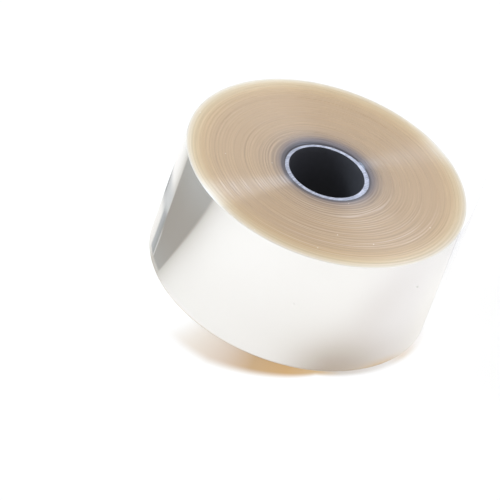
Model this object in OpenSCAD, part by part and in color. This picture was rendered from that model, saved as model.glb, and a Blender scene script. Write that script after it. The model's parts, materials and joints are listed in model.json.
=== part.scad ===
// Roll of cake collar film: clear film wound on a plastic core, standing on one end.
// The origin is on the roll's axis in the plane that the lower end rests on, and +Z is up.

/* [Roll] */
// Diameter over the wound film
roll_d = 188; // [140:1:260]
// Width of the film
film_w = 88; // [40:1:150]
// Thickness of the film
film_t = 0.125; // [0.08:0.005:0.3]

/* [Core] */
// Diameter of the bore
bore_d = 50.8; // [38:0.1:76.2]
// Thickness of the core's wall
core_wall = 3.2; // [2:0.1:6]
// Depth of the sawn ends below the edges of the film
core_recess = 0.2; // [0.1:0.1:3]
// Chamfer that breaks the sawn edges
core_chamfer = 0.15; // [0.05:0.05:0.8]

/* [Turns] */
// Width of a band of turns that ran level with each other, near enough
band_w = 1.6; // [1:0.1:5]
// Uneven spacing of the bands, as a part of their width
band_jitter = 0.25; // [0:0.05:0.4]
// Furthest that a band has wandered along the axis
band_wander = 0.3; // [0.05:0.05:1]

/* [Free end] */
// Length of film that has sprung off the roll
tail_len = 78; // [20:1:150]
// Radius that the sprung film has opened to
tail_r = 287; // [200:1:600]
// Bearing at which the film leaves the roll, in degrees from +X
tail_at = -12.7; // [-180:0.1:180]

/* [Hidden] */
$fn = 180;

film_colour = [0.84, 0.77, 0.69];
core_colour = [0.13, 0.13, 0.15];

roll_r = roll_d / 2;
bore_r = bore_d / 2;
core_r = bore_r + core_wall;
core_len = film_w - 2 * core_recess;

// The turns between the core and the outside are shared out in whole bands
n_bands = round((roll_r - core_r) / band_w);
band_pitch = (roll_r - core_r) / n_bands;

// A turn that never repeats itself, which spreads the bands' offsets evenly
golden_turn = 137.5;
// Bands from one that rests on the lower plane to the next
rest_every = 6;
// Share of the wander that the bands between are kept within
between_low = 0.15;
between_high = 0.85;

// The sprung film leaves from the seat of the last turn, one thickness deep
tail_seat_r = roll_r - film_t;
tail_sweep = tail_len / tail_r * 180 / PI;

// Outer radius of band i, counted from the outside in
function band_r(i) =
    roll_r - band_pitch * (i + (i < n_bands ? band_jitter * sin(i * golden_turn) : 0));

// How far band i has wandered up the axis. The outermost rests on the lower
// plane, and so does every sixth. The ones midway reach the upper plane.
function wander(i) =
    i % rest_every == 0 ? 0 :
    i % rest_every == rest_every / 2 ? band_wander :
    band_wander * (between_low + (between_high - between_low) * abs(sin(i * golden_turn)));

// The turns wound tight on the core. Each band is the full width of the film,
// so the steps that show on the upper end show as hollows on the lower one.
module wound_turns() {
    upper = [for (i = [0:n_bands - 1], edge = [0, 1]) [band_r(i + edge), film_w + wander(i)]];
    lower = [for (i = [n_bands - 1:-1:0], edge = [1, 0]) [band_r(i + edge), wander(i)]];
    rotate_extrude() polygon(concat(upper, lower));
}

// The loose outer end of the film, which springs away from the roll in one wide arc
module sprung_end() {
    translate((tail_seat_r - tail_r) * [cos(tail_at), sin(tail_at), 0])
        rotate_extrude(angle = tail_sweep, start = tail_at)
            translate([tail_r - film_t, 0])
                square([film_t, film_w]);
}

// The whole length of film, from the core to its free end
module film() {
    color(film_colour) {
        wound_turns();
        sprung_end();
    }
}

// The plastic tube that the film is wound on, sawn to length
module core() {
    color(core_colour)
        translate([0, 0, core_recess])
            rotate_extrude()
                polygon([
                    [bore_r, core_chamfer],
                    [bore_r + core_chamfer, 0],
                    [core_r - core_chamfer, 0],
                    [core_r, core_chamfer],
                    [core_r, core_len - core_chamfer],
                    [core_r - core_chamfer, core_len],
                    [bore_r + core_chamfer, core_len],
                    [bore_r, core_len - core_chamfer],
                ]);
}

film();
core();
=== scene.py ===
"""Roll of cake collar film: clear film wound on a black plastic tube, dressed for its photograph."""
import json
import logging
import math
from collections.abc import Callable
from dataclasses import dataclass
from enum import Enum, IntEnum
from functools import cached_property

import bpy
import numpy as np
from mathutils import Matrix, Vector


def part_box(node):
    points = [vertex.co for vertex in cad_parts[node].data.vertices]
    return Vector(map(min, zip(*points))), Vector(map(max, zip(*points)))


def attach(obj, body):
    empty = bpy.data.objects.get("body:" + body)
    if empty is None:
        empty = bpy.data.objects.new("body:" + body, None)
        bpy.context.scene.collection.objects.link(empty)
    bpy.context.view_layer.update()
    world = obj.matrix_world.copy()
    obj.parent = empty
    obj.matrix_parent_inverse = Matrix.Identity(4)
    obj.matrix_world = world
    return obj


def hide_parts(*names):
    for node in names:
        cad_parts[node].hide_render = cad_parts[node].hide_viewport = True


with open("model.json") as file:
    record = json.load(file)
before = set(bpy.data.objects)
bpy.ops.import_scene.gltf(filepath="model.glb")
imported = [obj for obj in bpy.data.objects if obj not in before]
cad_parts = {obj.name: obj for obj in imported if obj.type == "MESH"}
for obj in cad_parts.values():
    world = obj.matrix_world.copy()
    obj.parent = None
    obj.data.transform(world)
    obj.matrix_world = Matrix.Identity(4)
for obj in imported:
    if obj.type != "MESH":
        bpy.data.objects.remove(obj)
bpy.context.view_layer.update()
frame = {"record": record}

log = logging.getLogger("roll")

MM = 0.001
GOLDEN_TURN = math.radians(137.5)

# The Mix node's colour sockets by number, because their names repeat
MIX_SHARE, MIX_FIRST, MIX_SECOND, MIX_RESULT = 0, 6, 7, 2

Colour = tuple[float, float, float, float]
WHITE: Colour = (1.0, 1.0, 1.0, 1.0)
BLACK: Colour = (0.0, 0.0, 0.0, 1.0)


class Slot(Enum):
    """The record's material slots."""

    FILM = "film"
    CORE = "core"


class Face(IntEnum):
    """The faces of the wound film, in the order of their finishes."""

    END = 0
    SIDE = 1
    BORE = 2


class Ray(Enum):
    """The kinds of ray that a studio surface can tell apart."""

    CAMERA = "Is Camera Ray"
    GLOSSY = "Is Glossy Ray"
    TRANSMISSION = "Is Transmission Ray"


def tone(red: float, green: float, blue: float) -> Colour:
    """The linear values that shaders take for a colour that a screen shows as 0 to 255."""
    shown = np.array([red, green, blue]) / 255.0
    return (*np.where(shown <= 0.04045, shown / 12.92, ((shown + 0.055) / 1.055) ** 2.4).tolist(), 1.0)


def level_vector(bearing: float, length: float = 1.0, height: float = 0.0) -> tuple[float, float, float]:
    """A vector at a bearing in radians, with its length on the flat and its height."""
    return (length * math.cos(bearing), length * math.sin(bearing), height)


def add_object(name: str, data: bpy.types.ID) -> bpy.types.Object:
    """Adds an object at the origin to the scene.

    Args:
        name: its name.
        data: the mesh, lamp or camera that it shows.

    Returns:
        The object.
    """
    made = bpy.data.objects.new(name, data)
    bpy.context.scene.collection.objects.link(made)
    return made


def grid_quads(grid: np.ndarray, down: int, along: int) -> np.ndarray:
    """The faces of a grid, each from a point to the next row and column, which wrap round.

    Args:
        grid: points of shape (rows, columns, 3).
        down: how many rows of faces.
        along: how many faces to a row.

    Returns:
        Four point numbers to a face.
    """
    rows, columns = grid.shape[:2]
    i, j = np.meshgrid(np.arange(down), np.arange(along), indexing="ij")
    below, beside = (i + 1) % rows, (j + 1) % columns
    return np.stack([i * columns + j, i * columns + beside,
                     below * columns + beside, below * columns + j], axis=-1).reshape(-1, 4)


def closed_surface(name: str, grid: np.ndarray, capped: bool = False) -> bpy.types.Object:
    """Makes one closed mesh from a grid of points.

    Columns always wrap round. Rows wrap round too, which makes a ring, or end in two flat caps.

    Args:
        name: the object's name.
        grid: points of shape (rows, columns, 3), in metres.
        capped: True where the first and the last row are closed by caps.

    Returns:
        The new object, at the origin, with its faces turned outwards.
    """
    rows, columns = grid.shape[:2]
    quads = grid_quads(grid, rows - 1 if capped else rows, columns)
    faces = quads.tolist()
    if capped:
        start = np.arange(columns)
        faces += [start[::-1].tolist(), (start + (rows - 1) * columns).tolist()]
    points = grid.reshape(-1, 3)
    mesh = bpy.data.meshes.new(name)
    mesh.from_pydata(points, [], faces)
    # Six times the volume inside is the sum of a . (b x c) over the triangles, seen from the middle
    a, b, c, d = ((points - points.mean(axis=0))[quads[:, k]] for k in range(4))
    if np.sum(a * np.cross(b, c)) + np.sum(a * np.cross(c, d)) < 0:
        mesh.flip_normals()
    mesh.validate()
    mesh.update()
    return add_object(name, mesh)


def arc(centre: tuple[float, float], radius: float, start: float, end: float, count: int) -> np.ndarray:
    """Points centre + radius (cos a, sin a) of a profile, for angles from start to end in degrees."""
    angle = np.radians(np.linspace(start, end, count))
    return np.stack([centre[0] + radius * np.cos(angle), centre[1] + radius * np.sin(angle)], axis=-1)


def carried_round(profile: np.ndarray, segments: int) -> tuple[np.ndarray, np.ndarray, np.ndarray]:
    """A profile's points at every bearing round the axis.

    Args:
        profile: distances from the axis and heights, of shape (points, 2).
        segments: how many bearings.

    Returns:
        Radii, bearings in radians and heights, each of shape (points, segments).
    """
    turn = np.linspace(0, 2 * np.pi, segments, endpoint=False)
    radius, bearing = np.meshgrid(profile[:, 0], turn, indexing="ij")
    return radius, bearing, np.repeat(profile[:, 1:], segments, axis=1)


def polar_points(radius: np.ndarray, bearing: np.ndarray, height: np.ndarray) -> np.ndarray:
    """Points (radius cos b, radius sin b, height), stacked on a last axis of three."""
    return np.stack([radius * np.cos(bearing), radius * np.sin(bearing), height], axis=-1)


def lay_uv(piece: bpy.types.Object, name: str, shares: np.ndarray) -> None:
    """Writes a UV map.

    Args:
        piece: the object.
        name: the map's name.
        shares: one pair of coordinates for each of its points.
    """
    corners = np.empty(len(piece.data.loops), dtype=np.int32)
    piece.data.loops.foreach_get("vertex_index", corners)
    piece.data.uv_layers.new(name=name).data.foreach_set("uv", shares[corners].ravel())


def dress(piece: bpy.types.Object, finishes: list[bpy.types.Material],
          slots: np.ndarray | None = None, smooth: bool = True) -> None:
    """Gives a piece its materials and its shading.

    Args:
        piece: the object.
        finishes: its materials, in slot order.
        slots: the slot of each face, or None where there is one material.
        smooth: whether it is shaded smoothly.
    """
    for finish in finishes:
        piece.data.materials.append(finish)
    faces = piece.data.polygons
    faces.foreach_set("use_smooth", np.full(len(faces), smooth))
    if slots is not None:
        faces.foreach_set("material_index", slots.astype(np.int32))
    piece.data.update()


def stand_for(piece: bpy.types.Object, node: str) -> None:
    """Lets a piece stand for a CAD node and ride on the part.

    Args:
        piece: the finished object.
        node: the CAD node that it stands for.
    """
    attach(piece, "root")
    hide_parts(node)


def sum_with(operation: str, swapped: bool = False) -> Callable[["Signal", object], "Signal"]:
    """Makes a method of Signal that does one sum on it and another number.

    Args:
        operation: the Math node's operation.
        swapped: True where the other number comes first.

    Returns:
        The method.
    """
    def method(signal: "Signal", other: object) -> "Signal":
        """Adds the Math node and gives back its result."""
        return signal.tree.math(operation, *((other, signal) if swapped else (signal, other)))
    return method


class Signal:
    """What a node puts out, held so that sums on it can be written as plain sums."""

    def __init__(self, tree: "Tree", socket: bpy.types.NodeSocket) -> None:
        """Holds the socket and the tree that it is in."""
        self.tree = tree
        self.socket = socket

    __add__ = __radd__ = sum_with("ADD")
    __mul__ = __rmul__ = sum_with("MULTIPLY")
    __sub__ = sum_with("SUBTRACT")
    __rsub__ = sum_with("SUBTRACT", swapped=True)
    __truediv__ = sum_with("DIVIDE")
    __rtruediv__ = sum_with("DIVIDE", swapped=True)
    __pow__ = sum_with("POWER")
    at_least = sum_with("MAXIMUM")
    at_most = sum_with("MINIMUM")
    below = sum_with("LESS_THAN")

    def kept(self) -> "Signal":
        """This number, kept between 0 and 1."""
        return self.tree.math("ADD", self, 0.0, clamp=True)

    def exp(self) -> "Signal":
        """The number e raised to this number."""
        return self.tree.math("EXPONENT", self)

    def rise(self, low: float, high: float) -> "Signal":
        """A smooth step over this number, from 0 to 1. It falls where low is the larger.

        Args:
            low: where the step is 0.
            high: where it is 1.

        Returns:
            The step.
        """
        falls = low > high
        feeds = {"Value": self, "From Min": min(low, high), "From Max": max(low, high),
                 "To Min": float(falls), "To Max": float(not falls)}
        return self.tree.take("MapRange", "Result", feeds, interpolation_type="SMOOTHSTEP")

    def under(self, share: object, colour: object, blend: str = "MIX") -> "Signal":
        """This colour with a share of another laid over it."""
        return self.tree.mix(share, self, colour, blend)


Layer = tuple[Signal, object]


class Tree:
    """A shader tree: each call adds a node and gives back what it puts out."""

    def __init__(self, tree: bpy.types.NodeTree) -> None:
        """Starts with an empty tree."""
        self.tree = tree
        tree.nodes.clear()

    def feed(self, node: bpy.types.Node, feeds: dict[str | int, object]) -> None:
        """Links or sets the inputs of a node.

        Args:
            node: the node.
            feeds: a signal or a plain value for each input's name or number.
        """
        for label, value in feeds.items():
            if isinstance(value, Signal):
                self.tree.links.new(value.socket, node.inputs[label])
            else:
                node.inputs[label].default_value = value

    def node(self, kind: str, feeds: dict[str | int, object] | None = None,
             **settings: object) -> bpy.types.Node:
        """Adds a node.

        Args:
            kind: its kind, such as Math.
            feeds: what its inputs take.
            settings: its own settings.

        Returns:
            The node.
        """
        made = self.tree.nodes.new("ShaderNode" + kind)
        for name, value in settings.items():
            setattr(made, name, value)
        self.feed(made, feeds or {})
        return made

    def take(self, kind: str, output: str | int, feeds: dict[str | int, object] | None = None,
             **settings: object) -> Signal:
        """One output, by name or number, of a node added as node adds it."""
        return Signal(self, self.node(kind, feeds, **settings).outputs[output])

    def math(self, operation: str, *values: object, clamp: bool = False) -> Signal:
        """One sum on one to three numbers."""
        return self.take("Math", 0, dict(enumerate(values)), operation=operation, use_clamp=clamp)

    def vector(self, operation: str, *values: object) -> Signal:
        """One sum on vectors, which gives a number where the operation measures something."""
        output = "Value" if operation in ("LENGTH", "DISTANCE", "DOT_PRODUCT") else "Vector"
        return self.take("VectorMath", output, dict(enumerate(values)), operation=operation)

    def scaled(self, vector: Signal, factor: object) -> Signal:
        """A vector or colour, times a number."""
        return self.take("VectorMath", "Vector", {0: vector, "Scale": factor}, operation="SCALE")

    def split(self, vector: Signal) -> tuple[Signal, ...]:
        """The three parts of a vector."""
        return tuple(Signal(self, part) for part in self.node("SeparateXYZ", {0: vector}).outputs)

    def join(self, *parts: object) -> Signal:
        """A vector from its three parts."""
        return self.take("CombineXYZ", 0, dict(enumerate(parts)))

    def noise(self, vector: Signal, scale: float = 1.0, detail: float = 2.0,
              roughness: float = 0.5) -> Signal:
        """Cloudy noise about 0.5 at a vector."""
        feeds = {"Vector": vector, "Scale": scale, "Detail": detail, "Roughness": roughness}
        return self.take("TexNoise", "Fac", feeds)

    def mix(self, share: object, first: object, second: object, blend: str = "MIX") -> Signal:
        """A share of the second colour over the first."""
        feeds = {MIX_SHARE: share, MIX_FIRST: first, MIX_SECOND: second}
        return self.take("Mix", MIX_RESULT, feeds, data_type="RGBA", blend_type=blend)

    def ramp(self, value: Signal, stops: list[tuple[float, Colour]]) -> Signal:
        """Turns a number into a colour.

        Args:
            value: the number, 0 to 1.
            stops: places from 0 to 1 with their colours.

        Returns:
            The colour, which changes evenly from stop to stop.
        """
        made = self.node("ValToRGB", {0: value})
        elements = made.color_ramp.elements
        while len(elements) < len(stops):
            elements.new(1.0)
        for element, (place, colour) in zip(elements, stops):
            element.position = place
            element.color = colour
        return Signal(self, made.outputs["Color"])

    def group(self, shared: bpy.types.NodeTree, **values: object) -> dict[str, Signal]:
        """Adds a shared group.

        Args:
            shared: the group.
            values: what its inputs take, by name.

        Returns:
            Its outputs by name.
        """
        made = self.node("Group", node_tree=shared)
        self.feed(made, {name.capitalize(): value for name, value in values.items()})
        return {socket.name: Signal(self, socket) for socket in made.outputs}

    def place(self) -> Signal:
        """Where a point is on the object, in metres."""
        return self.take("TexCoord", "Object")

    def bump(self, height: Signal, strength: float, depth: float) -> Signal:
        """The normal of a surface raised by a height of 0 to 1 times a depth in metres."""
        return self.take("Bump", "Normal", {"Height": height, "Strength": strength, "Distance": depth})

    def ray(self, kind: Ray) -> Signal:
        """1 for rays of a kind, else 0."""
        return self.take("LightPath", kind.value)

    def sees_white(self) -> Signal:
        """1 for the rays that see the surround as plain white, else 0."""
        return self.ray(Ray.CAMERA).at_least(self.ray(Ray.GLOSSY)).at_least(self.ray(Ray.TRANSMISSION))


class Effect(Tree):
    """A shader node group that finishes share."""

    def __init__(self, name: str, takes: dict[str, float | None]) -> None:
        """Starts a group.

        Args:
            name: its name.
            takes: the first value of each input that is a number, and None for a vector.
        """
        super().__init__(bpy.data.node_groups.new(name, "ShaderNodeTree"))
        for label, first in takes.items():
            kind = "NodeSocketVector" if first is None else "NodeSocketFloat"
            made = self.tree.interface.new_socket(name=label, in_out="INPUT", socket_type=kind)
            if first is not None:
                made.default_value = first
        inside = self.tree.nodes.new("NodeGroupInput")
        self.takes = {label: Signal(self, inside.outputs[label]) for label in takes}

    def give(self, **results: Signal) -> bpy.types.NodeTree:
        """Ends the group.

        Args:
            results: its outputs by name, each a number.

        Returns:
            The finished group.
        """
        for label in results:
            self.tree.interface.new_socket(name=label, in_out="OUTPUT", socket_type="NodeSocketFloat")
        self.feed(self.tree.nodes.new("NodeGroupOutput"), results)
        return self.tree


class Skin(Tree):
    """A material's tree, with its Principled shader."""

    def __init__(self, name: str) -> None:
        """Makes a material that holds nothing but its shader and its output."""
        self.material = bpy.data.materials.new(name)
        self.material.use_nodes = True
        super().__init__(self.material.node_tree)
        self.shader = self.node("BsdfPrincipled")
        self.node("OutputMaterial", {"Surface": Signal(self, self.shader.outputs["BSDF"])})

    def finished(self, looks: dict[str, object]) -> bpy.types.Material:
        """Feeds the shader's inputs by name, and gives back the material."""
        self.feed(self.shader, looks)
        return self.material


class Spot:
    """A place on the object, in metres, and what the finishes read from it."""

    def __init__(self, tree: Tree, place: Signal | None = None) -> None:
        """Starts from a given place, or else from the object's own."""
        self.tree = tree
        self.place = place or tree.place()

    @cached_property
    def parts(self) -> tuple[Signal, ...]:
        """How far it is along each axis."""
        return self.tree.split(self.place)

    @cached_property
    def flat(self) -> Signal:
        """The place without its height."""
        return self.tree.join(self.parts[0], self.parts[1], 0.0)

    @cached_property
    def radius(self) -> Signal:
        """The distance from the axis."""
        return self.tree.vector("LENGTH", self.flat)

    @cached_property
    def outward(self) -> Signal:
        """The level direction away from the axis, one long."""
        return self.tree.vector("NORMALIZE", self.flat)

    @cached_property
    def turn(self) -> Signal:
        """The bearing from -180 to 180 degrees."""
        return self.tree.math("ARCTAN2", self.parts[1], self.parts[0]) * (180.0 / math.pi)

    def from_point(self, point: tuple[float, float, float]) -> Signal:
        """The level distance from a point at height 0."""
        return self.tree.vector("DISTANCE", self.flat, point)


@dataclass(frozen=True)
class Grain:
    """A single grain of dust at a known place: its bearing in degrees and the rest in metres."""

    bearing: float
    radius: float
    height: float
    size: float

    def centre(self) -> tuple[float, float, float]:
        """Where it lies, in metres."""
        return level_vector(math.radians(self.bearing), self.radius, self.height)


@dataclass(frozen=True)
class SharedEffects:
    """The node groups that several finishes use: turn lines, dust and single specks."""

    lines: bpy.types.NodeTree
    dust: bpy.types.NodeTree
    speck: bpy.types.NodeTree
    dust_share: float = 0.03

    @classmethod
    def build(cls) -> "SharedEffects":
        """Makes each group once."""
        return cls(cls.turn_lines(), cls.fine_dust(), cls.one_speck())

    @staticmethod
    def turn_lines() -> bpy.types.NodeTree:
        """Lines round the axis: 0.5 + grain / 2 x sin(2 pi (radius / pitch + wobble)) + unevenness.

        The wobble and the unevenness are noise over the radius, which drifts with the bearing,
        so that no two lines are alike and none closes on itself exactly. The grain is the same
        kind of noise, finer than the lines.

        Returns:
            A group that gives the lines and the grain, each 0 to 1 about 0.5.
        """
        effect = Effect("turn_lines", {"Place": None, "Pitch": 0.002, "Drift": 1.0})
        spot = Spot(effect, effect.takes["Place"])
        east, north = (part * effect.takes["Drift"] for part in effect.split(spot.outward)[:2])
        counted = spot.radius / effect.takes["Pitch"]
        wobble = effect.noise(effect.join(counted * 0.4, east, north), detail=1.0) * 2.2
        wave = effect.math("SINE", (wobble + counted) * (2 * math.pi))
        grain = effect.noise(effect.join(counted * 2.6, north, east))
        uneven = effect.noise(effect.join(counted * 1.7, east, north), detail=1.0)
        return effect.give(Lines=(uneven - 0.5) * 1.1 + (wave * (grain * 0.5) + 0.5), Grain=grain)

    @staticmethod
    def fine_dust() -> bpy.types.NodeTree:
        """Scattered dust: the middles of those cells of a Voronoi pattern whose own value is low.

        Returns:
            A group that gives a mask of dust grains.
        """
        effect = Effect("fine_dust", {"Place": None, "Spacing": 0.004, "Share": 0.05})
        scaled = effect.scaled(effect.takes["Place"], 1.0 / effect.takes["Spacing"])
        cells = effect.node("TexVoronoi", {"Vector": scaled, "Scale": 1.0})
        value = effect.split(Signal(effect, cells.outputs["Color"]))[0]
        near = Signal(effect, cells.outputs["Distance"]).rise(0.11, 0.05)
        return effect.give(Mask=value.below(effect.takes["Share"]) * near)

    @staticmethod
    def one_speck() -> bpy.types.NodeTree:
        """One grain at a known place: 1 inside 0.6 of its size, and 0 from 1.3 of it outwards.

        Returns:
            A group that gives the grain's mask.
        """
        effect = Effect("one_speck", {"Place": None, "Centre": None, "Size": 0.0005})
        apart = effect.vector("DISTANCE", effect.takes["Place"], effect.takes["Centre"])
        return effect.give(Mask=(apart / effect.takes["Size"]).rise(1.3, 0.6))

    def grains(self, spot: Spot, spacing: float, known: tuple[Grain, ...]) -> Signal:
        """Dust on a surface: some scattered, and some where the photograph has it.

        Args:
            spot: the place on the surface.
            spacing: the width of the cells that scattered grains may lie in.
            known: the grains whose places are known.

        Returns:
            The mask of both.
        """
        tree, place = spot.tree, spot.place
        mask = tree.group(self.dust, place=place, spacing=spacing, share=self.dust_share)["Mask"]
        for grain in known:
            one = tree.group(self.speck, place=place, centre=grain.centre(), size=grain.size)
            mask = mask.at_least(one["Mask"])
        return mask


@dataclass(frozen=True)
class TurnEdges:
    """The wound film seen on its cut edges: beige, paler outwards, ringed by its turns."""

    effects: SharedEffects
    inner: float
    outer: float
    dust: tuple[Grain, ...]
    line_pitch: float = 2.1 * MM
    line_drift: float = 0.7
    line_depth: float = 0.09
    depth_near_core: float = 0.29
    # Extra depth of the lines in front, where they carry painted sheen
    depth_in_sheen: float = 0.28
    grain_depth: float = 0.17
    roughness: float = 0.33
    rim_roughness: float = 0.14
    crest_lean: float = math.radians(19)
    # The bearing that the painted sheen in front is centred on
    sheen_bearing: float = math.radians(-52)
    # The painted shade's colour, multiplied into the base colour in its sector
    brown: Colour = (0.93, 0.915, 0.90, 1.0)
    sheen: Colour = (0.66, 0.80, 1.0, 1.0)

    def make(self) -> bpy.types.Material:
        """Builds the finish.

        Returns:
            The material for both ends of the wound film.
        """
        skin = Skin("turn_edges")
        spot = Spot(skin)
        lines = skin.group(self.effects.lines, place=spot.place, pitch=self.line_pitch,
                           drift=self.line_drift)
        colour = self.painted_shade_sector(spot, self.depth_colour(spot))
        colour = self.core_shade(spot, self.rings(spot, colour, lines))
        grains = self.effects.grains(spot, 5 * MM, self.dust)
        rim = spot.radius.rise(self.outer - 14 * MM, self.outer - 2 * MM)
        return skin.finished({
            "Base Color": colour.under(grains * 0.6, tone(244, 240, 232)),
            "Roughness": rim * self.rim_roughness + self.roughness,
            "Specular IOR Level": 1.0,
            "Specular Tint": self.sheen,
            "Anisotropic": 1.0,
            "Anisotropic Rotation": 0.25,
            "Tangent": skin.take("Tangent", "Tangent", direction_type="RADIAL", axis="Z"),
            "Normal": self.leaning_normal(spot, lines["Lines"]),
        })

    def leaning_normal(self, spot: Spot, line: Signal) -> Signal:
        """The surface's normal, leant outwards on each light line.

        Args:
            spot: the place on the end.
            line: the turn lines.

        Returns:
            The normal N + r tan(lean), made one long, where r points away from the axis.
        """
        outward = spot.tree.scaled(spot.outward, line.rise(0.4, 0.95) * math.tan(self.crest_lean))
        leant = spot.tree.vector("ADD", spot.tree.take("NewGeometry", "Normal"), outward)
        return spot.tree.vector("NORMALIZE", leant)

    def depth_colour(self, spot: Spot) -> Signal:
        """Colour by radius: light enters through the outer turns, so the rim is palest."""
        return spot.tree.ramp((spot.radius - self.inner) / (self.outer - self.inner), [
            (0.00, tone(163, 140, 117)),
            (0.12, tone(173, 149, 124)),
            (0.32, tone(184, 157, 126)),
            (0.72, tone(188, 160, 127)),
            (0.84, tone(197, 169, 132)),
            (0.925, tone(209, 188, 154)),
            (0.975, tone(223, 210, 188)),
            (1.00, tone(233, 227, 219)),
        ])

    def painted_shade_sector(self, spot: Spot, colour: Signal) -> Signal:
        """Painted shade: a sector of the roll, 45 degrees wide, where no sheen falls, painted a little
        darker and browner than the rest.
        """
        sector = spot.turn.rise(-128.0, -123.0) * spot.turn.rise(-66.0, -94.0)
        return colour.under(sector, self.brown, blend="MULTIPLY")

    def rings(self, spot: Spot, colour: Signal, lines: dict[str, Signal]) -> Signal:
        """Lightens and darkens the colour along the turn lines, most near the core, with painted sheen
        in front: deeper lines there, and their light crests painted paler.

        Args:
            spot: the place on the end.
            colour: the colour so far.
            lines: the turn lines and their grain.

        Returns:
            The ringed colour.
        """
        near = spot.radius.rise(self.inner + 28 * MM, self.inner + 6 * MM)
        # Painted sheen: a zone in front, round the sheen bearing, where the lines are deeper
        ahead = spot.tree.vector("DOT_PRODUCT", spot.outward, level_vector(self.sheen_bearing))
        front = ahead.rise(0.35, 0.95)
        depth = front * self.depth_in_sheen + (near * self.depth_near_core + self.line_depth)
        gain = (lines["Grain"] - 0.5) * self.grain_depth + ((lines["Lines"] - 0.5) * depth + 1.0)
        # Painted sheen: in that zone the lines' light crests are mixed towards a pale pink grey
        painted_sheen_lines = lines["Lines"].rise(0.60, 0.92) * front
        return spot.tree.scaled(colour, gain).under(painted_sheen_lines * 0.40, tone(212, 201, 192))

    def core_shade(self, spot: Spot, colour: Signal) -> Signal:
        """The dark core seen through the innermost turns.

        A violet grey fades outwards, wider on the far side than on the near one, and the
        first turns, pressed against the core, are nearly as dark as it is.

        Args:
            spot: the place on the end.
            colour: the colour so far.

        Returns:
            The shaded colour.
        """
        outside = spot.from_point((0.0, 2.0 * MM, 0.0)) - self.inner
        beyond = spot.from_point((-0.5 * MM, -0.7 * MM, 0.0)) - self.inner
        colour = colour.under(outside.rise(12.0 * MM, 0.5 * MM) * 0.6, tone(136, 121, 114))
        colour = colour.under(outside.rise(7.4 * MM, -0.5 * MM) * 0.85, tone(104, 97, 104))
        return colour.under(beyond.rise(2.5 * MM, 0.9 * MM) * 0.66, tone(48, 42, 46))


@dataclass(frozen=True)
class WoundSide:
    """The side of the roll: hundreds of clear turns that together mirror like a pale metal."""

    effects: SharedEffects
    dust: tuple[Grain, ...]
    mirror: float = 0.75
    roughness: float = 0.06
    dust_roughness: float = 0.3

    def make(self) -> bpy.types.Material:
        """Builds the finish.

        Returns:
            The material for the outermost turn.
        """
        skin = Skin("wound_side")
        spot = Spot(skin)
        cloud = skin.noise(spot.place, scale=14.0)
        colour = skin.mix(cloud, tone(253, 252, 251), tone(251, 250, 248))
        # Painted light: an amber glow along the lowest millimetre of the side, where light comes through
        # the film's edges
        foot = spot.parts[2].rise(1.0 * MM, 0.1 * MM)
        colour = colour.under(foot * 0.7, tone(222, 192, 140))
        grains = self.effects.grains(spot, 9 * MM, self.dust)
        ripple = skin.noise(skin.vector("MULTIPLY", spot.place, (30.0, 30.0, 6.0)))
        return skin.finished({
            "Base Color": colour.under(grains * 0.45, tone(196, 192, 190)),
            "Metallic": self.mirror,
            "Roughness": grains * self.dust_roughness + (ripple * 0.05 + self.roughness),
            "Normal": skin.bump(ripple, 0.25, 0.15 * MM),
        })


@dataclass(frozen=True)
class BoreWall:
    """The innermost turn's own wall, dark because the black core stands against it."""

    roughness: float = 0.3

    def make(self) -> bpy.types.Material:
        """Builds the finish.

        Returns:
            The material for the film's bore.
        """
        skin = Skin("bore_wall")
        cloud = skin.noise(skin.place(), scale=400.0)
        colour = skin.mix(cloud, tone(58, 52, 60), tone(84, 76, 84))
        return skin.finished({"Base Color": colour, "Roughness": self.roughness})


@dataclass(frozen=True)
class ClearFilm:
    """One thickness of the clear film: hardly there, with its cut edges a little plainer."""

    body: float = 0.05
    slanting: float = 0.16
    cut_edge: float = 0.12
    refraction: float = 1.49

    def make(self) -> bpy.types.Material:
        """Builds the finish.

        Returns:
            The material for the free end.
        """
        skin = Skin("clear_film")
        along, up, _ = skin.split(skin.take("UVMap", "UV", uv_map=FreeEnd.uv_map))
        haze = skin.noise(skin.place(), scale=60.0, detail=3.0)
        edge = up.at_most(1.0 - up).rise(0.007, 0.002).at_least(along.rise(0.992, 0.997))
        facing = skin.take("LayerWeight", "Facing", {"Blend": 0.35})
        shows = (edge * self.cut_edge + (facing * self.slanting + self.body)).kept()
        return skin.finished({
            "Base Color": skin.mix(haze, tone(226, 223, 238), tone(238, 236, 246)),
            "Roughness": haze * 0.04 + 0.04,
            "Alpha": shows * (up.rise(0.45, 0.95) * 0.75 + 0.25),
            "IOR": self.refraction,
            "Normal": skin.bump(haze, 0.1, 0.1 * MM),
        })


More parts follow.
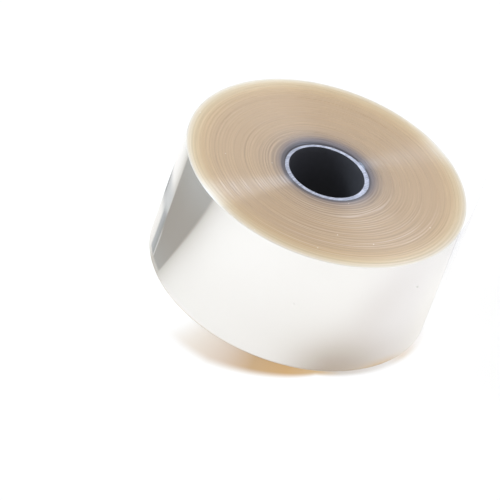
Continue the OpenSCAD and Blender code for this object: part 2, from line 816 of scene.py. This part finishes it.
@dataclass(frozen=True)
class SawnTube:
    """Black plastic: smooth inside, and pale where the saw has torn its ends."""

    outer: float
    lower: float
    upper: float
    roughness: float = 0.62
    lip_bearing: float = math.radians(125)
    lip_shift: float = 1.3 * MM
    saw_bearing: float = math.radians(35)
    # Painted shade and painted light: the sawn ends' colour is multiplied by these from one side to the
    # other
    shaded_from: Colour = (0.90, 0.90, 0.89, 1.0)
    lit_from: Colour = (1.08, 1.08, 1.08, 1.0)

    def make(self) -> bpy.types.Material:
        """Builds the finish.

        Returns:
            The material for the core.
        """
        skin = Skin("sawn_tube")
        spot = Spot(skin)
        height = spot.parts[2]
        cut = height.rise(self.upper - 0.24 * MM, self.upper - 0.10 * MM).at_least(
            height.rise(self.lower + 0.24 * MM, self.lower + 0.10 * MM))
        marks = self.saw_marks(spot)
        cloud = skin.noise(spot.place, scale=260.0, detail=3.0)
        sawn = skin.mix(marks, tone(146, 151, 170), tone(194, 198, 216))
        sawn = sawn.under(cloud * 0.4, tone(178, 183, 202))
        # Painted light and shade: the sawn ends are painted lighter towards one bearing and darker away
        # from it
        side = skin.vector("DOT_PRODUCT", spot.place, level_vector(0.5))
        painted_light_and_shade = skin.mix(side.rise(-self.outer, self.outer), self.shaded_from, self.lit_from)
        sawn = sawn.under(1.0, painted_light_and_shade, blend="MULTIPLY").under(self.dark_lip(spot), tone(74, 71, 77))
        smooth = skin.mix(cloud, tone(42, 43, 49), tone(50, 51, 59))
        return skin.finished({
            "Base Color": smooth.under(cut, sawn),
            "Roughness": self.roughness,
            "Normal": skin.bump((marks * 0.7 + cloud) * cut, 0.5, 0.08 * MM),
        })

    def dark_lip(self, spot: Spot) -> Signal:
        """A darker crescent on the outer edge of the sawn ends: widest, 1.5 mm, at one bearing."""
        away = spot.from_point(level_vector(self.lip_bearing, -self.lip_shift))
        return away.rise(self.outer - 0.25 * MM, self.outer + 0.15 * MM)

    def saw_marks(self, spot: Spot) -> Signal:
        """Straight stripes across the tube, about 1 mm apart and 10 mm long, made of noise.

        Args:
            spot: the place on the tube.

        Returns:
            The stripes, 0 to 1.
        """
        feeds = {"Vector": spot.place, "Rotation": (0.0, 0.0, self.saw_bearing)}
        turned = spot.tree.take("Mapping", "Vector", feeds)
        streaks = spot.tree.vector("MULTIPLY", turned, (900.0, 90.0, 90.0))
        return spot.tree.noise(streaks, detail=3.0, roughness=0.65).rise(0.38, 0.62)


@dataclass
class WoundFilm:
    """The turns wound tight on the core, as one closed ring with both ends ringed by bands."""

    inner: float
    outer: float
    width: float
    effects: SharedEffects
    band_width: float = 1.6 * MM
    band_jitter: float = 0.25
    wander: float = 0.3 * MM
    rest_every: int = 6
    ripple: float = 0.018 * MM
    drift: float = 0.22 * MM
    half_step: float = 0.1 * MM
    rim: float = 0.18 * MM
    segments: int = 192
    steps: int = 205
    # Each grain of dust on the upper end: bearing in degrees, radius and size in millimetres
    end_dust: tuple[tuple[float, float, float], ...] = (
        (-71.4, 63.8, 0.45), (-52.1, 71.5, 0.5), (-82.0, 81.9, 0.5), (-13.5, 76.5, 0.6))
    # Each grain on the side: bearing in degrees, height and size in millimetres
    side_dust: tuple[tuple[float, float, float], ...] = (
        (-31.7, 63.8, 0.9), (-83.9, 49.4, 0.5), (-58.2, 78.1, 0.35), (-46.5, 67.2, 0.35))

    def band_edges(self) -> tuple[np.ndarray, np.ndarray]:
        """The bands that the solids have: their outer radii and how far each has wandered.

        Band i ends at outer - pitch (i + jitter sin(i golden turn)). Every sixth rests on
        the lower plane, those midway between reach the upper plane, and the others lie
        between at 0.15 + 0.7 |sin(i golden turn)| of the way.

        Returns:
            Radii from the rim inwards, one more than there are bands, and the wanders.
        """
        count = round((self.outer - self.inner) / self.band_width)
        pitch = (self.outer - self.inner) / count
        i = np.arange(count + 1)
        jitter = np.where(i < count, self.band_jitter * np.sin(i * GOLDEN_TURN), 0.0)
        radii = self.outer - pitch * (i + jitter)
        between = self.wander * (0.15 + 0.7 * np.abs(np.sin(i * GOLDEN_TURN)))
        lifted = np.where(i % self.rest_every == self.rest_every // 2, self.wander, between)
        return radii, np.where(i % self.rest_every == 0, 0.0, lifted)[:count]

    def relief(self, radius: np.ndarray, turn: np.ndarray) -> np.ndarray:
        """How far an end stands up at each radius and bearing.

        It is the bands' wander, read along a radius that drifts by a fraction of a
        millimetre round the roll, with steps 0.2 mm wide, plus a fine ripple.

        Args:
            radius: distances from the axis.
            turn: bearings in radians.

        Returns:
            Heights from 0 to the wander.
        """
        edges, lifted = self.band_edges()
        knots = np.stack([edges[1:] + self.half_step, edges[:-1] - self.half_step], axis=-1).ravel()
        order = np.argsort(knots)
        fade = np.clip((self.outer - radius) / (4 * MM), 0, 1)
        fade = fade * np.clip((radius - self.inner) / (2 * MM), 0, 1)
        drifted = radius + self.drift * fade * np.sin(turn + radius * 190.0)
        stepped = np.interp(drifted, knots[order], np.repeat(lifted, 2)[order])
        broad = np.sin(drifted * 5200.0 + np.sin(turn) * 0.8)
        fine = np.sin(drifted * 8700.0 + np.cos(turn * 2.0))
        return np.clip(stepped + self.ripple * fade * (broad + fine), 0.0, self.wander)

    def surface(self) -> tuple[np.ndarray, np.ndarray]:
        """The ring's grid: a profile carried once round the axis.

        The profile runs out along the lower end, up the side, back along the upper end and
        down the bore, with both rims rounded.

        Returns:
            The grid of points, and for each profile row the slot of the face that follows it.
        """
        flat, low, high = self.outer - self.rim, self.rim, self.width - self.rim
        heights = low + (0.5 - 0.5 * np.cos(np.linspace(0.0, np.pi, 34)[1:-1])) * (high - low)
        parts = [
            (Face.END, True, np.linspace((self.inner, 0.0), (flat, 0.0), self.steps)),
            (Face.END, False, arc((flat, low), self.rim, -90, 0, 5)[1:]),
            (Face.SIDE, False, np.stack([np.full_like(heights, self.outer), heights], axis=-1)),
            (Face.END, False, arc((flat, high), self.rim, 0, 90, 5)[:-1]),
            (Face.END, True, np.linspace((flat, self.width), (self.inner, self.width), self.steps)),
            (Face.BORE, False, np.linspace((self.inner, self.width), (self.inner, 0.0), 8)[1:-1]),
        ]
        counts = [len(points) for _, _, points in parts]
        radius, bearing, height = carried_round(np.concatenate([p for _, _, p in parts]), self.segments)
        banded = np.repeat([float(on_end) for _, on_end, _ in parts], counts)[:, None]
        grid = polar_points(radius, bearing, height + banded * self.relief(radius, bearing))
        return grid, np.repeat([int(face) for face, _, _ in parts], counts)

    def build(self) -> bpy.types.Object:
        """Makes the ring, dresses it and lets it stand for the film's solid.

        Returns:
            The wound film.
        """
        grid, slots = self.surface()
        piece = closed_surface("wound_film", grid)
        on_end = tuple(Grain(b, r * MM, self.width + 0.1 * MM, s * MM) for b, r, s in self.end_dust)
        on_side = tuple(Grain(b, self.outer, z * MM, s * MM) for b, z, s in self.side_dust)
        finishes = {
            Face.END: TurnEdges(self.effects, self.inner, self.outer, on_end),
            Face.SIDE: WoundSide(self.effects, on_side),
            Face.BORE: BoreWall(),
        }
        dress(piece, [finishes[face].make() for face in Face], np.repeat(slots, self.segments))
        stand_for(piece, "film")
        return piece


@dataclass
class FreeEnd:
    """The loose outer end of the film, sprung away from the roll in one wide arc."""

    outer: float
    width: float
    thickness: float = 0.125 * MM
    opened: float = 287 * MM
    length: float = 78 * MM
    leaves_at: float = math.radians(-12.7)
    along: int = 60
    across: int = 10
    uv_map: str = "along"

    def surface(self) -> np.ndarray:
        """A thin sheet bent to an arc: centre + radius (cos a, sin a), with its width upwards.

        Returns:
            The grid: each row is the loop round the sheet's section at one place along it.
        """
        seat = self.outer - self.thickness - self.opened
        angle = self.leaves_at + np.linspace(0.0, self.length / self.opened, self.along)
        radius = np.repeat([self.opened, self.opened - self.thickness], self.across)
        up = np.linspace(0.0, self.width, self.across)
        bearing, distance = np.meshgrid(angle, radius, indexing="ij")
        height = np.broadcast_to(np.concatenate([up, up[::-1]]), bearing.shape)
        return polar_points(distance, bearing, height) + level_vector(self.leaves_at, seat)

    def build(self) -> bpy.types.Object:
        """Makes the sheet, dresses it and lays a UV map on it.

        The map goes by the share of the length and the share of the width.

        Returns:
            The free end.
        """
        grid = self.surface()
        piece = closed_surface("free_end", grid, capped=True)
        dress(piece, [ClearFilm().make()], smooth=False)
        share = np.repeat(np.linspace(0.0, 1.0, self.along), 2 * self.across)
        lay_uv(piece, self.uv_map, np.stack([share, grid[..., 2].ravel() / self.width], axis=-1))
        stand_for(piece, "film")
        return piece


@dataclass
class Core:
    """The plastic tube that the film is wound on, sawn to length."""

    inner: float
    outer: float
    lower: float
    upper: float
    chamfer: float = 0.15 * MM
    saw_depth: float = 0.05 * MM
    saw_pitch: float = 1.7 * MM
    ragged: float = 0.06 * MM
    segments: int = 320

    def profile(self) -> np.ndarray:
        """The tube's section as a loop.

        It goes out along the lower end, up the outside, back and down the bore, with a small
        round chamfer at each corner.

        Returns:
            Distances from the axis and heights, of shape (points, 2).
        """
        near, far = self.inner + self.chamfer, self.outer - self.chamfer
        low, high = self.lower + self.chamfer, self.upper - self.chamfer
        corners = ((near, low, 180), (far, low, 270), (far, high, 0), (near, high, 90))
        bends = [arc((x, z), self.chamfer, start, start + 90, 5) for x, z, start in corners]
        parts = []
        for bend, following, count in zip(bends, bends[1:] + bends[:1], (14, 16, 14, 16)):
            parts += [bend, np.linspace(bend[-1], following[0], count)[1:-1]]
        return np.concatenate(parts)

    def surface(self) -> np.ndarray:
        """The profile carried round the axis, its ends cut by the saw.

        Each end sinks by saw depth x (1 - cos(2 pi s / pitch)) / 2, where s is the distance
        across the saw's stripes. The edges round the bore are ragged by a few hundredths.

        Returns:
            The grid of points.
        """
        radius, bearing, height = carried_round(self.profile(), self.segments)
        middle = (self.lower + self.upper) / 2
        inside = self.upper - middle - np.abs(height - middle)
        end = np.clip(1 - inside / self.chamfer, 0, 1)
        across = radius * np.cos(bearing - SawnTube.saw_bearing)
        cut = self.saw_depth * (1 - np.cos(2 * np.pi * across / self.saw_pitch)) / 2
        waves = np.sin(bearing * 47) + np.sin(bearing * 31 + 1.0) + np.sin(bearing * 83 + 2.0)
        at_bore = np.clip(1 - (radius - self.inner) / (2 * self.chamfer), 0, 1)
        sunk = height - np.sign(height - middle) * end * cut
        torn = self.ragged * np.abs(waves) / 3 * end * at_bore
        return polar_points(radius + torn, bearing, sunk)

    def build(self) -> bpy.types.Object:
        """Makes the tube, dresses it and lets it stand for the core's solid.

        Returns:
            The core.
        """
        piece = closed_surface("core_tube", self.surface())
        dress(piece, [SawnTube(self.outer, self.lower, self.upper).make()])
        stand_for(piece, "core")
        return piece


@dataclass
class PhotoCamera:
    """The photograph's view: a long lens, 35.5 degrees up, turned about its own line of sight."""

    target: tuple[float, float, float]
    distance: float = 3.76
    focal_pixels: float = 5849.6
    image: float = 500.0
    sensor: float = 36.0
    elevation: float = math.radians(35.5)
    roll: float = math.radians(20.64)
    target_pixel: tuple[float, float] = (327.0, 171.86)

    def build(self) -> bpy.types.Object:
        """Places the camera so that the target lands on its pixel.

        Returns:
            The scene's camera.
        """
        back = Vector((0.0, -math.cos(self.elevation), math.sin(self.elevation)))
        right = Vector((1.0, 0.0, 0.0))
        up = back.cross(right)
        turn_cos, turn_sin = math.cos(self.roll), math.sin(self.roll)
        rolled = Matrix([turn_cos * right + turn_sin * up, turn_sin * right - turn_cos * up, -back])
        across, down = ((pixel - self.image / 2) / self.focal_pixels for pixel in self.target_pixel)
        aim = Vector((across, down, 1.0))
        swing = Vector((0.0, 0.0, 1.0)).rotation_difference(aim).to_matrix()
        turned = swing @ rolled
        data = bpy.data.cameras.new("photo_camera")
        data.sensor_width = self.sensor
        data.lens = self.focal_pixels * self.sensor / self.image
        data.clip_start, data.clip_end = 0.1, 30.0
        camera = add_object("photo_camera", data)
        columns = Matrix((turned[0], -turned[1], -turned[2])).transposed()
        place = Vector(self.target) + back * self.distance
        camera.matrix_world = Matrix.Translation(place) @ columns.to_4x4()
        bpy.context.scene.camera = camera
        return camera


@dataclass
class SoftLamp:
    """An area lamp at a bearing and height round the roll, in degrees, turned towards it."""

    name: str
    bearing: float
    elevation: float
    size: tuple[float, float]
    power: float
    distance: float = 2.0
    colour: tuple[float, float, float] = (1.0, 1.0, 1.0)
    mirrored: bool = False
    matt: bool = True
    shape: str = "RECTANGLE"

    def build(self, target: Vector) -> bpy.types.Object:
        """Makes the lamp.

        Args:
            target: the point that it lights.

        Returns:
            The lamp, which no camera sees.
        """
        rise = math.radians(self.elevation)
        away = Vector(level_vector(math.radians(self.bearing), math.cos(rise), math.sin(rise)))
        data = bpy.data.lights.new(self.name, "AREA")
        data.shape = self.shape
        data.size, data.size_y = self.size
        data.energy = self.power
        data.color = self.colour
        lamp = add_object(self.name, data)
        lamp.location = target + away * self.distance
        lamp.rotation_mode = "QUATERNION"
        lamp.rotation_quaternion = (-away).to_track_quat("-Z", "Y")
        lamp.visible_camera = False
        lamp.visible_glossy = self.mirrored
        lamp.visible_diffuse = self.matt
        return lamp


@dataclass
class Studio:
    """The white floor and surround, the lamps, and the card that only the film mirrors."""

    radius: float
    height: float
    view_elevation: float
    floor_half: float = 5.0
    world_light: float = 0.42
    floor_glow: float = 0.76
    floor_white: float = 0.25
    floor_bounce: float = 0.8
    lamps: tuple[SoftLamp, ...] = (
        SoftLamp("left_window", 186.5, 30.0, (1.7, 1.1), 31.0, colour=(0.84, 0.93, 1.0)),
        SoftLamp("left_sheen", 186.5, 30.0, (0.66, 0.42), 51.0, colour=(0.78, 0.89, 1.0),
                 mirrored=True, matt=False),
        SoftLamp("right_box", 4.0, 48.0, (1.1, 0.5), 17.0),
        SoftLamp("right_sheen", 2.0, 48.0, (3.2, 0.6), 25.0, colour=(0.82, 0.91, 1.0),
                 mirrored=True, matt=False, shape="ELLIPSE"),
        SoftLamp("front_fill", -100.0, 25.0, (2.4, 1.6), 6.0, distance=2.6),
        SoftLamp("back_fill", 85.0, 35.0, (2.0, 1.2), 9.0, distance=2.4),
    )

    def build(self) -> None:
        """Makes the whole studio."""
        bpy.context.scene.view_settings.view_transform = "Standard"
        self.world()
        self.floor()
        MirroredRoom(self.radius, self.height, self.view_elevation).build()
        for lamp in self.lamps:
            lamp.build(Vector((0.0, 0.0, self.height / 2)))

    def world(self) -> None:
        """A white surround: plain white where it is seen, and a softer light on the object."""
        world = bpy.data.worlds.new("white_surround")
        world.use_nodes = True
        bpy.context.scene.world = world
        tree = Tree(world.node_tree)
        strength = tree.sees_white() * (1.0 - self.world_light) + self.world_light
        light = tree.take("Background", "Background", {"Color": WHITE, "Strength": strength})
        tree.node("OutputWorld", {"Surface": light})

    def floor(self) -> None:
        """A white floor that keeps the shadow, with painted amber light that the roll lets through and
        painted shade.
        """
        half = self.floor_half
        mesh = bpy.data.meshes.new("floor")
        corners = [(-half, -half, 0.0), (half, -half, 0.0), (half, half, 0.0), (-half, half, 0.0)]
        mesh.from_pydata(corners, [], [(0, 1, 2, 3)])
        mesh.materials.append(self.floor_finish())
        add_object("floor", mesh)

    def floor_finish(self) -> bpy.types.Material:
        """A matt white, part of it glowing so that its far side is as white as the surround.

        Returns:
            The floor's material.
        """
        skin = Skin("white_floor")
        white = skin.sees_white()
        share, amber = self.amber_light(Spot(skin))
        lit = skin.mix(share * skin.ray(Ray.CAMERA), WHITE, amber)
        bright = white * (self.floor_white - self.floor_bounce) + self.floor_bounce
        return skin.finished({
            "Base Color": skin.scaled(lit, bright),
            "Roughness": 1.0,
            "Specular IOR Level": 0.0,
            "Emission Color": lit,
            "Emission Strength": white * self.floor_glow,
        })

    def amber_light(self, spot: Spot) -> tuple[Signal, Signal]:
        """How far the floor is painted with light that came through the film and with shade, and with
        what.

        The painted colour reaches 26 mm - 0.6 mm (b + 104) beyond the roll, where b is the bearing in
        degrees and at least -104, and no less than 3.5 mm. It is a brownish painted shade at the left,
        painted golden light in front, and a faint painted grey shadow further right with a golden
        crescent of painted light in it.

        Args:
            spot: the place on the floor.

        Returns:
            The share of the painted light and shade, 0 to 1, and its colour.
        """
        width = (spot.turn.at_least(-104.0) * (-0.6 * MM) - 36.4 * MM).at_least(3.5 * MM)
        beyond = spot.radius - self.radius - width
        share = (beyond / (width * 0.2 + 1.6 * MM)).rise(1.0, -1.0)
        ends = spot.turn.rise(-124.0, -110.0) * spot.turn.rise(8.0, -8.0)
        painted_light_and_shade = spot.tree.ramp((spot.turn + 124.0) / 124.0, [
            (0.10, tone(233, 224, 214)),
            (0.19, tone(216, 199, 183)),
            (0.27, tone(198, 168, 132)),
            (0.37, tone(206, 170, 124)),
            (0.47, tone(214, 186, 148)),
            (0.55, tone(214, 206, 199)),
            (0.73, tone(234, 231, 229)),
            (0.81, tone(233, 221, 208)),
            (0.90, tone(246, 243, 241)),
            (0.98, tone(251, 250, 250)),
        ])
        return share * ends, painted_light_and_shade


def bell(first: Signal, second: object = 0.0) -> Signal:
    """exp(-first^2 - second^2)."""
    return ((first * first + second * second) * -1.0).exp()


@dataclass(frozen=True)
class MirroredPattern:
    """What the side mirrors, in layers from back to front: each the share that shows and a colour.

    It is drawn in the side's own bearings, in degrees, and in heights as shares of the roll's.
    """

    bearing: Signal
    up: Signal
    far_left: float = -180.0
    window_left: float = -157.2
    shade_middle: float = -60.0

    def layers(self) -> list[Layer]:
        """Every layer, the room first and the window last."""
        parts = (self.room(), self.warm_shade(), self.window_haze(), self.far_wall(), self.grey_window())
        return [layer for part in parts for layer in part]

    def room(self) -> list[Layer]:
        """A white room, faintly darker low down and a little cooler to the right.

        Returns:
            The layers over its white.
        """
        cool = self.bearing.rise(-66.0, -40.0) * self.bearing.rise(-14.0, -34.0)
        behind = self.bearing.rise(-34.0, -8.0) * self.up.rise(0.4, 1.0)
        return [
            (self.up.rise(0.9, 0.0) * 0.5, tone(228, 224, 218)),
            (cool * 0.6, tone(234, 231, 233)),
            (behind * 0.7, tone(226, 225, 226)),
        ]

    def warm_shade(self) -> list[Layer]:
        """A soft brown shade low in front, which fades as exp(-(b / width)^2 - (h / depth)^2).

        Returns:
            A fainter shade that leans from it to the upper right, the shade itself, and a
            line of amber along the foot to its right.
        """
        aside = self.bearing - self.shade_middle
        lean = bell((self.bearing - (self.up * 18.0 + self.shade_middle)) / 12.0)
        core = bell(aside / (aside.rise(-4.0, 4.0) * 11.0 + 17.0), self.up / 0.27)
        foot = bell((self.bearing + 37.0) / 11.0, self.up / 0.045)
        return [
            (lean * self.up.rise(1.1, 0.5) * 0.28, tone(206, 196, 190)),
            (core * 0.88, tone(162, 142, 118)),
            (foot * 0.7, tone(206, 170, 116)),
        ]

    def past_window(self) -> Signal:
        """Degrees past the window's right edge, -131 - 17.3 d^1.35 at a depth d below the rim."""
        return self.bearing - ((1.0 - self.up).kept() ** 1.35 * -17.3 - 131.0)

    def window_haze(self) -> list[Layer]:
        """A veil that fades from the window as exp(-0.15 b) rightwards and exp(-0.2 b) leftwards."""
        right = (self.past_window().at_least(0.0) * -0.15).exp()
        left = ((self.window_left - self.bearing).at_least(0.0) * -0.20).exp()
        return [(right * left * 0.88, tone(164, 156, 142))]

    def far_wall(self) -> list[Layer]:
        """A grey band level with the roll's middle at the far left, darkest at its very edge."""
        level = (self.up - 0.475) / 0.135
        band = bell(level * level) * self.bearing.rise(-156.5, -158.5)
        edge = bell((self.bearing - self.far_left) / 6.6, (self.up - 0.44) / 0.11)
        return [(band * 0.97, tone(189, 190, 190)), (edge, tone(44, 46, 50))]

    def grey_window(self) -> list[Layer]:
        """A grey shape with plain edges, upright at the left and curving in to its foot at the right.

        Returns:
            A paler pane beside its lower left, the window, and a line of light between the two.
        """
        before = self.window_left - self.bearing
        foot = self.up.rise(0.025, 0.055)
        pane = self.bearing.rise(-164.4, -162.0) * self.up.rise(0.46, 0.36)
        deeper = self.bearing.rise(-162.0, -157.0)
        pale = foot.tree.mix(deeper, tone(150, 151, 150), tone(116, 116, 114))
        past = self.past_window() / (self.up * 0.9 + 0.5)
        middle = (self.up - 0.46) / 0.46
        grey = foot.tree.mix((middle * middle).kept(), tone(113, 99, 78), tone(131, 127, 118))
        line = bell((before + 0.6) / 0.45) * self.up.rise(0.34, 0.2)
        return [
            (pane * self.bearing.below(self.window_left) * foot, pale),
            (before.rise(0.5, -0.5) * past.rise(0.8, -0.8) * foot, grey),
            (line * foot * 0.75, tone(214, 214, 212)),
        ]


@dataclass
class MirroredRoom:
    """What stood round the roll in the photograph, as one thin card that only its side mirrors.

    The card lies on the floor, and its points are where the view's rays land after they meet
    the side.
    """

    radius: float
    height: float
    view_elevation: float
    reach: float = 160 * MM
    above_floor: float = 0.4 * MM
    rows: int = 80
    columns: int = 240
    white: Colour = tone(254, 253, 251)

    def surface(self) -> np.ndarray:
        """The card's points, from the mirror law.

        A ray from the camera that meets the side at a bearing b leaves it at the bearing
        2 b + 90 degrees and falls at the camera's own angle, so it lands
        height / tan(angle) away.

        Returns:
            The grid: a row for each height, a column for each bearing from -180 to 0.
        """
        up = np.linspace(0.0, self.reach, self.rows)
        turn = np.linspace(-np.pi, 0.0, self.columns)
        height, bearing = np.meshgrid(up, turn, indexing="ij")
        away = height / math.tan(self.view_elevation)
        side = polar_points(np.full_like(height, self.radius), bearing, np.zeros_like(height))
        return side + polar_points(away, 2 * bearing + np.pi / 2, np.full_like(height, self.above_floor))

    def build(self) -> None:
        """Makes the card and keeps it out of every ray but the mirrored ones."""
        grid = self.surface()
        mesh = bpy.data.meshes.new("mirrored_room")
        faces = grid_quads(grid, self.rows - 1, self.columns - 1)
        mesh.from_pydata(grid.reshape(-1, 3), [], faces.tolist())
        mesh.materials.append(self.finish())
        card = add_object("mirrored_room", mesh)
        u, v = np.meshgrid(np.linspace(0, 1, self.columns), np.linspace(0, 1, self.rows))
        lay_uv(card, "side", np.stack([u.ravel(), v.ravel()], axis=-1))
        for kind in ("camera", "diffuse", "transmission", "shadow"):
            setattr(card, f"visible_{kind}", False)

    def finish(self) -> bpy.types.Material:
        """The pattern laid on white, fading to plain white and a little brighter above the rim.

        Returns:
            The card's material, which glows and is black under its glow.
        """
        skin = Skin("mirrored_room")
        u, v, _ = skin.split(skin.take("UVMap", "UV", uv_map="side"))
        up = v * (self.reach / self.height)
        colour = self.white
        for share, layer in MirroredPattern(u * 180.0 - 180.0, up).layers():
            colour = skin.mix(share, colour, layer)
        margin = up.rise(1.03, 1.8)
        return skin.finished({
            "Base Color": BLACK,
            "Specular IOR Level": 0.0,
            "Emission Color": skin.mix(margin, colour, WHITE),
            "Emission Strength": margin * 0.12 + 1.04,
        })


def report(piece: bpy.types.Object) -> None:
    """Logs a piece's name, its triangles and its finishes.

    Args:
        piece: the finished object.
    """
    piece.data.calc_loop_triangles()
    finishes = ", ".join(material.name for material in piece.data.materials)
    log.info("%s: %d triangles, %s", piece.name, len(piece.data.loop_triangles), finishes)


def main() -> None:
    """Builds the roll piece by piece in the frame's sizes, then its studio and camera."""
    logging.basicConfig(level=logging.INFO, format="%(message)s")
    film_low, film_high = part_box("film")
    core_low, core_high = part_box("core")
    film_width = film_high[2] - WoundFilm.wander
    roll_radius = -film_low[0]
    core_radius = core_high[0]
    bore = next(mount for mount in frame["record"]["mounts"] if mount["name"] == "bore")
    pieces = (
        WoundFilm(core_radius, roll_radius, film_width, SharedEffects.build()),
        FreeEnd(roll_radius, film_width),
        Core(bore["dims"]["r_mm"] * MM, core_radius, core_low[2], core_high[2]),
    )
    for piece in pieces:
        report(piece.build())
    camera = PhotoCamera((0.0, 0.0, film_width))
    camera.build()
    Studio(roll_radius, film_width, camera.elevation).build()


if __name__ == "__main__":
    main()
